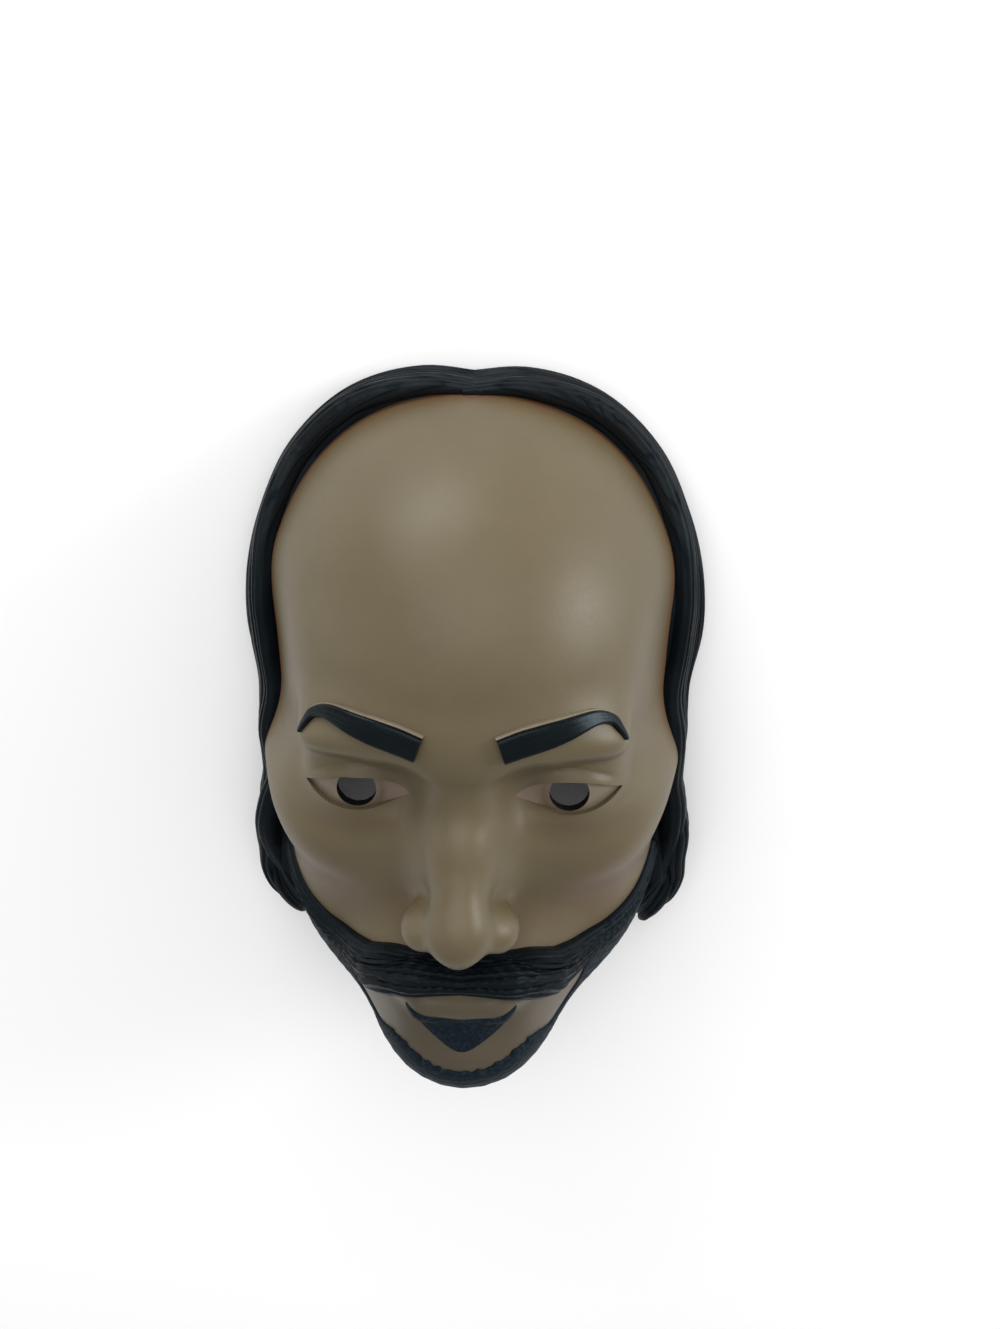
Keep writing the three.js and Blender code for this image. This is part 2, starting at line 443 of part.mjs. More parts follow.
// Only the outermost surface is kept, so small gaps shut in between the locks are solid.
function outermost(m) {
  const { vertProperties: v, triVerts: t } = m, n = t.length / 3, root = Array.from({ length: n }, (_, i) => i);
  const find = (i) => { while (root[i] !== i) { root[i] = root[root[i]]; i = root[i]; } return i; };
  const p = (i) => [v[3 * i], v[3 * i + 1], v[3 * i + 2]], edge = new Map(), volume = new Map();
  for (let i = 0; i < n; i++) {
    for (let k = 0; k < 3; k++) {
      const a = t[3 * i + k], b = t[3 * i + (k + 1) % 3], key = Math.min(a, b) + ':' + Math.max(a, b);
      if (edge.has(key)) root[find(i)] = find(edge.get(key)); else edge.set(key, i);
    }
  }
  for (let i = 0; i < n; i++) {
    const k = find(i);
    volume.set(k, (volume.get(k) ?? 0) + dot(p(t[3 * i]), cross(p(t[3 * i + 1]), p(t[3 * i + 2]))));
  }
  const best = [...volume].sort((a, b) => b[1] - a[1])[0][0], id = new Map(), V = [], F = [];
  for (let i = 0; i < n; i++) {
    if (find(i) !== best) continue;
    for (const k of t.slice(3 * i, 3 * i + 3)) { if (!id.has(k)) { id.set(k, V.length); V.push(p(k)); } F.push(id.get(k)); }
  }
  return { V, F };
}
// Edges shorter than least are drawn together where that neither folds nor pinches the surface.
function tidy({ V, F }, least) {
  const tris = [];
  for (let i = 0; i < F.length; i += 3) tris.push([F[i], F[i + 1], F[i + 2]]);
  const fan = V.map(() => new Set());
  tris.forEach((t, i) => t.forEach((v) => fan[v].add(i)));
  const normal = (t, v, p) => { const [a, b, c] = t.map((k) => (k === v ? p : V[k])); return cross(sub(b, a), sub(c, a)); };
  const around = (v) => { const n = new Set(); for (const i of fan[v]) for (const k of tris[i]) if (k !== v) n.add(k); return n; };
  for (let pass = 0, done = 1; pass < 12 && done; pass++) {
    done = 0;
    for (let a = 0; a < V.length; a++) {
      if (!fan[a].size) continue;
      const near = [...around(a)].map((k) => [len(sub(V[a], V[k])), k]).sort((x, y) => x[0] - y[0]);
      for (const [l, b] of near) {
        if (l > least) break;
        const na = around(a), nb = around(b), shared = [...na].filter((k) => nb.has(k));
        const edge = [...fan[a]].filter((i) => fan[b].has(i));
        if (edge.length !== 2 || shared.length !== 2) continue;
        const flatA = Math.abs(V[a][2]) < 1e-6, flatB = Math.abs(V[b][2]) < 1e-6;
        const p = flatA === flatB ? add(V[a].map((x) => x / 2), V[b], 0.5) : (flatA ? V[a] : V[b]);
        const keeps = [[a, b], [b, a]].every(([u, w]) => [...fan[u]].every((i) => {
          if (tris[i].includes(w)) return true;
          const n0 = normal(tris[i]), n1 = normal(tris[i], u, p);
          return len(n0) < 1e-3 ? true : dot(unit(n0), unit(n1)) > 0.5 && len(n1) > 0.02;
        }));
        if (!keeps) continue;
        for (const i of edge) { for (const k of tris[i]) fan[k].delete(i); tris[i] = null; }
        for (const i of fan[b]) { tris[i] = tris[i].map((k) => (k === b ? a : k)); fan[a].add(i); }
        fan[b].clear();
        V[a] = p;
        done++;
        break;
      }
    }
  }
  return { V, F: tris.filter((t) => t).flat() };
}
const { V: points, F: triangles } = outermost(body3(tidy(outermost(shell.getMesh()), 0.7)).getMesh());
const geometry = new THREE.BufferGeometry();
geometry.setAttribute('position', new THREE.BufferAttribute(new Float32Array(points.flat()), 3));
geometry.setIndex(new THREE.BufferAttribute(new Uint32Array(triangles), 1));
// The outline is centred over the origin and stands on z = 0.
geometry.computeBoundingBox();
const { min, max } = geometry.boundingBox;
geometry.translate(-(min.x + max.x) / 2, -(min.y + max.y) / 2, -min.z);
geometry.computeVertexNormals();

const mask = new THREE.Mesh(geometry, SKIN);
mask.name = 'mask';
const group = new THREE.Group();
group.name = 'bearded_man_mask';
group.add(mask);
export default group;
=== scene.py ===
import math

import bpy
import numpy as np
from mathutils import Matrix, Vector


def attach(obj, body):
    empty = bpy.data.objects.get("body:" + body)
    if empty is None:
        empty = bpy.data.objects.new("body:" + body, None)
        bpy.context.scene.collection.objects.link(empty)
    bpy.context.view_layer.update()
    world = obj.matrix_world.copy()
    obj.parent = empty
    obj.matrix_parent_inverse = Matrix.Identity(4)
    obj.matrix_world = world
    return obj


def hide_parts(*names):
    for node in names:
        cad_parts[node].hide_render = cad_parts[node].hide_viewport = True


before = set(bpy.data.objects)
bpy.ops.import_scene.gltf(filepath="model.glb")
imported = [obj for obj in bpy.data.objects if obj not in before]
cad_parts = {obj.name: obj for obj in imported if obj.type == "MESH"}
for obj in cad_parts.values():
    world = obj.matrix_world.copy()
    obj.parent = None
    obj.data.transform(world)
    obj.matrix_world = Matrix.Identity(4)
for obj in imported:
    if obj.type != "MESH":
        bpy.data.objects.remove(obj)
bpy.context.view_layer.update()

# Everything below is worked out in millimetres in the head's own frame: X across, +Y to the
# crown, +Z out of the face, z = 0 at the back rim, y = 0 at the eyes. OFFSET takes it to the row frame.
OFFSET = np.array([0.063, 3.096, 0.0])
SKIN, HAIR, BROW, SLATE, INSIDE, RIM_HIGHLIGHT, EYEBALL = range(7)
EYE = (32.0, -1.0, 60.5)
EYE_BALL, EYE_LID = 13.5, 15.7
MID = 12.0
WALL = 3.2


# ---- distances -------------------------------------------------------------
def norm(v):
    return np.sqrt((v * v).sum(-1))


def ell(p, c, r, turn=0.0):
    q = p - np.array(c, float)
    if turn:
        a = math.radians(turn)
        ca, sa = math.cos(a), math.sin(a)
        q = np.stack([q[:, 0] * ca + q[:, 1] * sa, -q[:, 0] * sa + q[:, 1] * ca, q[:, 2]], 1)
    q = q / np.array(r, float)
    k0 = norm(q)
    return k0 * (k0 - 1) / (norm(q / np.array(r, float)) + 1e-9)


def cap(p, a, b, ra, rb):
    a, b = np.array(a, float), np.array(b, float)
    ab = b - a
    h = np.clip(((p - a) @ ab) / (ab @ ab), 0, 1)
    return norm(p - a - h[:, None] * ab) - (ra + (rb - ra) * h)


def join(a, b, k):
    h = np.maximum(k - np.abs(a - b), 0) / k
    return np.minimum(a, b) - h * h * k * 0.25


def carve(a, b, k):
    return -join(-a, b, k)


def smooth(e0, e1, x):
    t = np.clip((np.asarray(x, float) - e0) / (e1 - e0), 0, 1)
    return t * t * (3 - 2 * t)


def sided(p):
    s = p.copy()
    s[:, 0] = np.sqrt(p[:, 0] ** 2 + 2.0)
    return s


def masses(p, s):
    d = ell(p, (0, 26, -8), (72, 82, 97))
    d = join(d, ell(p, (0, -36, -6), (61, 72, 82)), 24)
    d = join(d, ell(p, (0, -78, 20), (43, 36, 58)), 24)
    d = join(d, ell(p, (0, -98, 57), (22, 17, 24)), 20)
    d = join(d, ell(s, (46, -13, 20), (20, 13, 36)), 22)
    d = join(d, ell(s, (36, -25, 45), (19, 15, 21)), 20)
    d = join(d, ell(s, (39, -56, 12), (18, 28, 30)), 26)
    d = join(d, ell(p, (0, -66, 58), (29, 20, 27)), 14)
    d = join(d, ell(s, (25, 18, 70), (23, 8, 14), -4), 14)
    d = join(d, ell(p, (0, 17, 73), (14, 10, 14)), 12)
    d = carve(d, ell(s, (80, 24, 50), (16, 26, 30)), 24)
    d = carve(d, ell(s, (34, -1, 88), (19, 12, 17.5), -4), 13)
    return carve(d, ell(s, (19, 0, 92), (8, 10, 16)), 9)


def nose(p, s, wings):
    n = cap(p, (0, 9, 75.5), (0, -12, 85), 7, 6.8)
    n = join(n, cap(p, (0, -12, 85), (0, -31, 94.5), 6.8, 8), 6)
    n = join(n, ell(p, (0, -21, 70), (16, 25, 19)), 10)
    n = join(n, ell(p, (0, -36.5, 96.5), (9.4, 8.8, 9.8)), 7)
    if not wings:
        return n
    n = join(n, ell(s, (11.6, -39.6, 87.5), (6.4, 6.8, 8.8)), 6)
    return join(n, cap(p, (0, -44.6, 85), (0, -42.8, 97), 4, 3.6), 4)


def lid_lines(u):
    up = 5.4 * (1 - np.abs(u + 0.10) ** 2.3 / 1.10 ** 2.3) + 0.9 * u - 0.2
    lo = -5.9 * (1 - np.abs(u - 0.12) ** 2.0 / 1.12 ** 2.0) + 0.9 * u - 0.2
    return up, lo


def face(p, fine=True, lids=True):
    s = sided(p)
    d = join(masses(p, s), nose(p, s, True), 7)
    if fine:
        d = carve(d, ell(s, (6.4, -47, 91.5), (2.9, 5.4, 5.6)), 2.4)
    d = carve(d, ell(p, (0, -84, 96), (26, 7, 15)), 11)
    upper = join(cap(s, (0, -62.8, 83.2), (12, -63.2, 81), 3.9, 3.9), cap(s, (12, -63.2, 81), (25, -66.6, 72), 3.9, 1.6), 3)
    lower = join(cap(s, (0, -71.2, 83.4), (11, -71, 81.9), 5.1, 4.9), cap(s, (11, -71, 81.9), (24.5, -67.4, 72.5), 4.9, 1.8), 4)
    d = join(join(d, upper, 4), lower, 4)
    if fine:
        seam = join(cap(s, (0, -66.9, 89), (10, -66.4, 87.5), 1.1, 1.1), cap(s, (10, -66.4, 87.5), (25, -66.9, 77), 1.1, 0.7), 1)
        d = carve(d, seam, 2.2)
    q = s - np.array(EYE)
    if lids:
        lid = norm(q / np.array((1.08, 1.0, 1.0))) - EYE_LID
        d = join(d, lid, 3.4 + 4.5 * smooth(-4, -10, q[:, 1]))
    if fine:
        # crease over the upper lid
        e = s[:, 0] - 31
        line = 7.9 - (e / np.where(e < 0, 4.9, 6.6)) ** 2
        d = d + 0.55 * np.exp(-(((s[:, 1] - line) / 0.85) ** 2)) * smooth(17, 24, s[:, 0]) * smooth(49, 41, s[:, 0])
    return d


def plain(p):
    return face(p, False)


def bare(p):
    return face(p, False, False)


def hollow(p):
    s = sided(p)
    d = join(masses(p, s), nose(p, s, False), 9)
    d = join(d, norm(s - np.array(EYE)) - 14.2, 5)
    return carve(d, ell(p, (0, -84, 96), (26, 7, 15)), 11) + WALL


def slope(f, p, e=0.05):
    g = np.zeros_like(p)
    for i in range(3):
        o = np.zeros(3)
        o[i] = e
        g[:, i] = f(p + o) - f(p - o)
    return g / np.maximum(norm(g), 1e-9)[:, None]


def snap(p, f=plain, rounds=8):
    p = np.array(p, float)
    shape = p.shape
    p = p.reshape(-1, 3)
    for i in range(rounds):
        p = p - slope(f, p) * f(p)[:, None] * 0.9
    return p.reshape(shape), slope(f, p).reshape(shape)


# ---- surfaces --------------------------------------------------------------
def steps(n, weight):
    t = np.linspace(-1, 1, 801)
    w = weight((t[1:] + t[:-1]) / 2)
    c = np.concatenate([[0], np.cumsum(w)])
    return np.interp(np.linspace(0, 1, n), c / c[-1], t)


def bump(t, at, w):
    return np.exp(-(((t - at) / w) ** 2))


def across(t):
    return 0.5 + 0.9 * bump(np.abs(t), 0.1, 0.08) + 0.8 * bump(np.abs(t), 0.3, 0.12) + 0.4 * bump(t, 0, 0.05)


def upward(t):
    return 0.45 + 1.0 * bump(t, -0.1, 0.075) + 1.3 * bump(t, -0.33, 0.07) + 0.5 * bump(t, -0.5, 0.12) + 0.3 * bump(t, 0.06, 0.06)


def fineness(P):
    q = P.copy()
    q[..., 0] = np.abs(q[..., 0])

    def g(c, r):
        return np.exp(-(((q - np.array(c)) / np.array(r)) ** 2).sum(-1))

    w = 1 + 3.6 * g((32, 2, 70), (16, 12, 16)) + 2.4 * g((7, -37, 92), (12, 20, 18)) + 0.8 * g((8, -70, 84), (22, 8, 16))
    return w * (0.42 + 0.58 * smooth(10, 34, q[..., 2]))


def skin(f, nu, nv, wu, wv, rounds, weight):
    U, V = np.meshgrid(steps(nu, wu), steps(nv, wv), indexing="ij")
    X, Y = U * np.sqrt(1 - V * V / 2), V * np.sqrt(1 - U * U / 2)
    rho = np.sqrt(X * X + Y * Y)
    a = rho * math.pi / 2
    k = np.where(rho > 1e-9, np.sin(a) / np.maximum(rho, 1e-9), math.pi / 2)
    D = np.stack([X * k, Y * k, np.maximum(np.cos(a), 0)], -1)
    D = (D / np.linalg.norm(D, axis=-1, keepdims=True)).reshape(-1, 3)
    C = np.array([0, MID, 0])
    t = np.full(len(D), 175.0)
    live = np.arange(len(D))
    for i in range(90):
        d = f(C + D[live] * t[live, None])
        t[live] -= np.maximum(d * 0.7, -0.5)
        live = live[np.abs(d) > 0.002]
        if len(live) == 0:
            break
    P = (C + D * t[:, None]).reshape(nu, nv, 3)
    for k in range(rounds):
        w = weight(P)[..., None]
        num, den = np.zeros_like(P[1:-1, 1:-1]), np.zeros_like(w[1:-1, 1:-1])
        for a, b in ((slice(2, None), slice(1, -1)), (slice(None, -2), slice(1, -1)), (slice(1, -1), slice(2, None)), (slice(1, -1), slice(None, -2))):
            num += P[a, b] * w[a, b]
            den += w[a, b]
        p = (P[1:-1, 1:-1] * 0.4 + 0.6 * num / den).reshape(-1, 3)
        for j in range(1 if k < rounds - 1 else 4):
            p = p - slope(f, p) * np.clip(f(p), -1.5, 1.5)[:, None] * 0.9
        p[:, 2] = np.maximum(p[:, 2], 0.05)
        P = P.copy()
        P[1:-1, 1:-1] = p.reshape(nu - 2, nv - 2, 3)
    return P


def dome(P, low):
    nu, nv = P.shape[:2]
    idx = np.arange(nu * nv).reshape(nu, nv)
    F = np.stack([idx[:-1, :-1], idx[1:, :-1], idx[1:, 1:], idx[:-1, 1:]], -1).reshape(-1, 4).tolist()
    ring = list(idx[0, :]) + list(idx[1:, -1]) + list(idx[-1, ::-1][1:]) + list(idx[::-1, 0][1:-1])
    V = P.reshape(-1, 3)
    base = V[ring].copy()
    base[:, 2] = low
    n, m = len(V), len(ring)
    V = np.vstack([V, base, [[0, MID - 10, low]]])
    for k in range(m):
        q = (k + 1) % m
        F.append([ring[k], ring[q], n + q, n + k])
        F.append([n + k, n + q, n + m])
    return V, F


def relief(P, N, H, sink):
    nu, nv = P.shape[:2]
    n = nu * nv
    V = np.vstack([(P + N * H[..., None]).reshape(-1, 3), (P - N * sink).reshape(-1, 3)])
    idx = np.arange(n).reshape(nu, nv)
    q = np.stack([idx[:-1, :-1], idx[1:, :-1], idx[1:, 1:], idx[:-1, 1:]], -1).reshape(-1, 4)
    F = q.tolist() + (q[:, ::-1] + n).tolist()
    ring = list(idx[:, 0]) + list(idx[-1, 1:]) + list(idx[::-1, -1][1:]) + list(idx[0, ::-1][1:-1])
    for i in range(len(ring)):
        a, b = ring[i], ring[(i + 1) % len(ring)]
        F.append([b, a, a + n, b + n])
    i, j = nu // 2, nv // 2
    if np.cross(P[i + 1, j] - P[i, j], P[i, j + 1] - P[i, j]) @ N[i, j] < 0:
        F = [f[::-1] for f in F]
    return V, F


def curve(K, n):
    K = np.asarray(K, float)
    P = np.vstack([2 * K[0] - K[1], K, 2 * K[-1] - K[-2]])
    t = np.linspace(0, 1, 24, endpoint=False)[:, None]
    out = []
    for i in range(1, len(P) - 2):
        a, b, c, d = P[i - 1], P[i], P[i + 1], P[i + 2]
        out.append(0.5 * ((2 * b) + (-a + c) * t + (2 * a - 5 * b + 4 * c - d) * t * t + (-a + 3 * b - 3 * c + d) * t ** 3))
    Q = np.vstack(out + [K[-1:]])
    L = np.concatenate([[0], np.cumsum(norm(np.diff(Q, axis=0)))])
    return np.stack([np.interp(np.linspace(0, L[-1], n), L, Q[:, k]) for k in range(3)], 1)


def even(values, s):
    v = np.atleast_1d(np.asarray(values, float))
    return np.full(len(s), v[0]) if len(v) == 1 else np.interp(s, np.linspace(0, 1, len(v)), v)


def strands(x, sharp=0.8):
    """Rounded ridges with narrow grooves between them, about -0.5 to 0.5."""
    return np.abs(np.sin(x)) ** sharp - 0.55


def strip(line, half, rise, n, m, count=5, groove=0.35, round_=0.5, flat=2.4, wave=0.25, phase=0.0, sink=2.0, edge=0.0, flow=None, jag=0.0):
    C, N = snap(curve(line, n))
    T = np.gradient(C, axis=0)
    T /= norm(T)[:, None]
    W = np.cross(T, N)
    W /= norm(W)[:, None]
    s, v = np.linspace(0, 1, n), np.linspace(-1, 1, m)
    hw, h = even(half, s), even(rise, s)
    # jag notches the upper edge like the ends of short hairs
    teeth = np.abs(((s * 11.0 + 0.35 * np.sin(s * 17)) % 1) - 0.5) * 2 - 0.5 + 0.35 * np.sin(s * 61)
    reach = hw[:, None] * (v[None, :] + jag * (v[None, :] < 0) * v[None, :] * teeth[:, None])
    P, N = snap(C[:, None, :] + W[:, None, :] * reach[..., None], rounds=6)
    body = np.maximum(1 - np.abs(v) ** flat, 0) ** round_
    bend = wave * np.sin(s[:, None] * 5 + phase) * (1 - v[None, :] ** 2)
    if flow is not None:
        bend = bend + flow * s[:, None]
    x = count * (v[None, :] + bend) * math.pi / 2 + phase
    g = (strands(x) + 0.35 * strands(2.7 * x + 1.3 + 3 * s[:, None])) * groove * np.minimum(1, hw / 3)[:, None]
    H = edge + h[:, None] * body[None, :] + g * (body[None, :] ** 1.5)
    return relief(P, N, H, sink)


def band(upper, lower, rise, n, m, count=12, groove=0.4, sink=2.0, edge=0.25, jag=0.0):
    """A band of short hair from ear to ear, each edge given from the middle to one side."""
    U, L = [curve([(-x, y, z) for x, y, z in K[:0:-1]] + list(K), n) for K in (upper, lower)]
    run = np.concatenate([[0], np.cumsum(norm(np.diff(U, axis=0)))])
    run -= run[-1] / 2
    wide = norm(L - U)
    # jag notches the upper edge like the ends of short hairs, round the chin only
    saw = np.abs((run / 5.2 + 0.45 * np.sin(run / 7.0 + 0.8)) % 1 - 0.5) * 2 - 0.5 + 0.3 * np.sin(run * 1.9 + 1)
    U = U + (L - U) / wide[:, None] * (jag * saw * smooth(44, 26, np.abs(run)))[:, None]
    t, v = np.linspace(0, 1, m)[None, :], np.linspace(-1, 1, m)[None, :]
    P, N = snap(U[:, None, :] * (1 - t[..., None]) + L[:, None, :] * t[..., None], rounds=10)
    side = np.abs(np.linspace(-1, 1, n))
    body = np.maximum(1 - np.abs(v) ** 2.4, 0) ** 0.5
    r = run[:, None]
    x = math.pi * count * t + 0.7 * np.sin(r * 0.31 + 5 * t) + 0.35 * np.sin(r * 0.83 - 9 * t)
    short = 0.65 + 0.35 * np.sin(r * 1.15 + 2.2 * np.sin(7 * t))
    g = (strands(x) * short + 0.3 * strands(2.6 * x + 0.9 * np.sin(r * 0.9))) * groove * np.minimum(1, wide / 18)[:, None]
    return relief(P, N, edge + even(rise, side)[:, None] * body + g * body ** 1.5, sink)


def beside(line, half, n, gap):
    """The upper edge of a strip, a little outside it."""
    C, N = snap(curve(line, n))
    T = np.gradient(C, axis=0)
    W = np.cross(T / norm(T)[:, None], N)
    return C - W / norm(W)[:, None] * (even(half, np.linspace(0, 1, n)) + gap)[:, None]


def mirrored(VF):
    V, F = VF
    V = V.copy()
    V[:, 0] *= -1
    return V, [f[::-1] for f in F]


# ---- hair ------------------------------------------------------------------
LOCKS = 5
FALL = [(67.5, -26), (70, -37), (72, -48), (72.2, -59), (70, -70), (65.5, -80)]
CORE = [(60, -18, 13), (62, -32, 13), (64, -46, 13), (65.5, -58, 12.5), (65, -69, 12), (62, -78, 11.5), (58, -83, 11)]
# Locks over the front of the bulk: one in an S down the outside, the rest curling in under the cheek.
CURLS = [
    ([(66.5, -10, 18), (67, -23, 19), (69.5, -35, 19.5), (71.8, -46, 19.5), (72, -56, 18.5), (72.8, -65, 16.5), (70.5, -74, 14.5), (66, -81.5, 12.5)],
     [2.4, 2.8, 3.8, 4.8, 4.4, 3.4, 3.2, 2.2], [2, 3, 3.4, 3.6, 3.4, 3, 3, 2.4]),
    ([(66.5, -38, 17), (65, -48, 18.5), (61.8, -58, 19), (58.3, -66, 18), (55.8, -72.5, 16)], [2.6, 3.4, 3.6, 3.2, 2], [2.4, 3, 3.2, 3, 2.2]),
    ([(68.5, -49, 16), (67.5, -58, 18), (64.5, -67, 18.5), (60.8, -74.5, 17.5), (57.5, -80, 15)], [2.6, 3.4, 3.6, 3.4, 2.2], [2.4, 3, 3.2, 3, 2.2]),
    ([(70.5, -59, 15), (69.8, -67, 16.5), (67.3, -75, 16.5), (64, -81.5, 15), (61.8, -86.5, 12.5)], [2.6, 3.4, 3.6, 3.2, 1.6], [2.4, 3, 3.2, 3, 2]),
]


def hairline(b):
    return np.interp(b, [-60, -40, -20, 0, 22, 36, 47, 55, 63, 72, 82, 90], [20, 21, 21.5, 21.5, 20.5, 15.5, 9.5, 7, 7, 9.5, 12, 13])


def crest(b):
    return 4.0 * np.exp(-(((b - 60) / 18) ** 2))


def fullness(b):
    """How far hair stands off: low at the parting, full beside it, close to the cheek."""
    return 3.2 * (0.5 + 0.5 * smooth(93, 82, b)) * (1 - 0.6 * smooth(12, -20, b)) + 0.5 * crest(b)


def side_point(beta, z, out=0.0):
    b, z = np.radians(np.asarray(beta, float)), np.asarray(z, float)
    D = np.stack([np.cos(b), np.sin(b), np.zeros_like(b)], -1)
    O = np.stack([np.zeros_like(z), np.full_like(z, MID), z], -1)
    t = np.full(len(b), 160.0)
    for i in range(60):
        d = plain(O + D * t[:, None])
        t -= d * 0.8
        if np.abs(d).max() < 0.004:
            break
    return O + D * (t + out)[:, None]


def blunt(s):
    return 0.3 + 0.7 * np.sqrt(1 - smooth(0.84, 1.03, s) ** 2)


def outward(C):
    low = smooth(-10, -50, C[:, 1])[:, None]
    O = C - np.array([0, MID, 0])
    O[:, 2] = 0
    O /= norm(O)[:, None]
    O = O * (1 - low) + np.array([1.0, 0.0, 0.18]) * low
    O[:, 2] += 0.12 * (1 - low[:, 0])
    return O


def tube(C, a, b, outer=28, inner=5, count=11, groove=0.7, phase=0.0, twist=1.5, facing=None):
    n = len(C)
    T = np.gradient(C, axis=0)
    T /= norm(T)[:, None]
    O = outward(C) if facing is None else np.tile(np.array(facing, float), (n, 1))
    O = O - (O * T).sum(1)[:, None] * T
    O /= norm(O)[:, None]
    B = np.cross(T, O)
    ph = np.concatenate([np.linspace(0, math.pi, outer + 1), np.linspace(math.pi, 2 * math.pi, inner + 1)[1:-1]])
    co, si = np.cos(ph), np.sin(ph)
    s = np.linspace(0, 1, n)[:, None]
    x = count * ph[None, :] / 2 + phase + twist * s + 0.5 * np.sin(6 * s + phase)
    k = np.minimum(1, np.minimum(a, b) / 2.5)[:, None]
    g = (strands(x) + 0.3 * strands(2.3 * x + 0.7)) * np.clip(si, 0, 1)[None, :] ** 0.5 * groove * k
    P = C[:, None, :] + ((a[:, None] + g * 0.5) * co)[:, :, None] * B[:, None, :] + ((b[:, None] + g) * si)[:, :, None] * O[:, None, :]
    m = len(ph)
    V = np.vstack([P.reshape(-1, 3), C[:1], C[-1:]])
    idx = np.arange(n * m).reshape(n, m)
    F = np.stack([idx[:-1], np.roll(idx[:-1], -1, 1), np.roll(idx[1:], -1, 1), idx[1:]], -1).reshape(-1, 4).tolist()
    for i in range(m):
        j = (i + 1) % m
        F.append([idx[0, j], idx[0, i], n * m])
        F.append([idx[-1, i], idx[-1, j], n * m + 1])
    # outward facing whichever way the frame turned
    if np.cross(P[n // 2, 1] - P[n // 2, 0], P[n // 2 + 1, 0] - P[n // 2, 0]) @ (P[n // 2, 0] - C[n // 2]) < 0:
        F = [f[::-1] for f in F]
    return V, F


def lock_line(j, side):
    f0 = (j + 0.35) / LOCKS
    beta = np.array([92, 80, 66, 52, 38, 24, 10, -4, -16.0])
    w = 0.10 * np.sin(np.radians(beta) * 2.2 + j * 1.9 + side * 0.7)
    z = hairline(beta) * (1 - np.clip(f0 + w * smooth(92, 60, beta), 0.06, 0.97)) + 1
    K = side_point(beta, z, 0.6 + 2.2 * smooth(92, 76, beta) + 0.8 * crest(beta) - 5.0 * smooth(8, -18, beta)).tolist()
    ahead = 1 - j / (LOCKS - 1)
    for i, (x, y) in enumerate(FALL):
        t = (i + 1) / len(FALL)
        K.append([
            x + 1.1 * math.sin(j * 2.1 + i * 1.3 + side) - 3.5 * ahead * t,
            y + (2.0 * math.sin(j * 1.7 + side * 2) + 8 * ahead) * t,
            11 + (z[-1] - 11) * (1 - 0.42 * t) + 1.2 * math.sin(i * 1.1 + j * 1.4),
        ])
    return K


def hair_pieces():
    out = []
    s = np.linspace(0, 1, 88)
    for side in (1, -1):
        for j in range(LOCKS):
            C = curve(lock_line(j, side), 88)
            a = (2.5 + 0.9 * smooth(0, 0.15, s) + 1.9 * smooth(0.55, 0.75, s)) * blunt(s)
            b = (2.2 + 1.5 * smooth(0, 0.15, s) + 0.9 * smooth(0.58, 0.78, s)) * blunt(s)
            lock = tube(C, a, b, phase=j * 0.9 + side * 0.4)
            out.append((mirrored(lock) if side < 0 else lock, HAIR))
    t = np.linspace(0, 1, 50)
    core = tube(curve(CORE, 50), even([5, 8.5, 10, 10.5, 10, 8.5, 6], t) * blunt(t), even([2.5, 4.5, 6, 7, 7, 6, 4], t) * blunt(t), outer=36, inner=14, count=17, groove=0.8)
    # hair lying on the head, under the locks
    n, m = 72, 62
    b, v = np.linspace(93, -40, n), np.linspace(0, 1, m)
    hl = hairline(b) * (1 - 0.25 * smooth(-10, -40, b))
    Z = -2 + (hl[:, None] + 2) * v[None, :]
    P = side_point(np.repeat(b, m), Z.ravel()).reshape(n, m, 3)
    N = slope(plain, P.reshape(-1, 3)).reshape(n, m, 3)
    flow = 0.9 * np.sin(b[:, None] * 0.045)
    ridge = 0.17 * strands(v[None, :] * 13 * math.pi + 1.6 * flow) + 0.06 * strands(v[None, :] * 4.3 * math.pi + 0.6 + flow)
    H = 0.3 + fullness(b)[:, None] * (np.maximum(1 - v[None, :] ** 4.5, 0) ** 0.6 + ridge * np.maximum(1 - v[None, :] ** 14, 0))
    base = relief(P, N, H, 2.2)
    for piece in (core, base):
        out += [(piece, HAIR), (mirrored(piece), HAIR)]
    for k, (line, half, thick) in enumerate(CURLS):
        n = 70 if k == 0 else 44
        s = np.linspace(0, 1, n)
        for side in (1, -1):
            piece = tube(curve(line, n), even(half, s) * blunt(s), even(thick, s) * blunt(s), outer=34, inner=6, count=8, groove=0.75, phase=0.8 * k + side, twist=0.9, facing=(0.35, -0.1, 1.0))
            out.append((piece if side > 0 else mirrored(piece), HAIR))
    return out


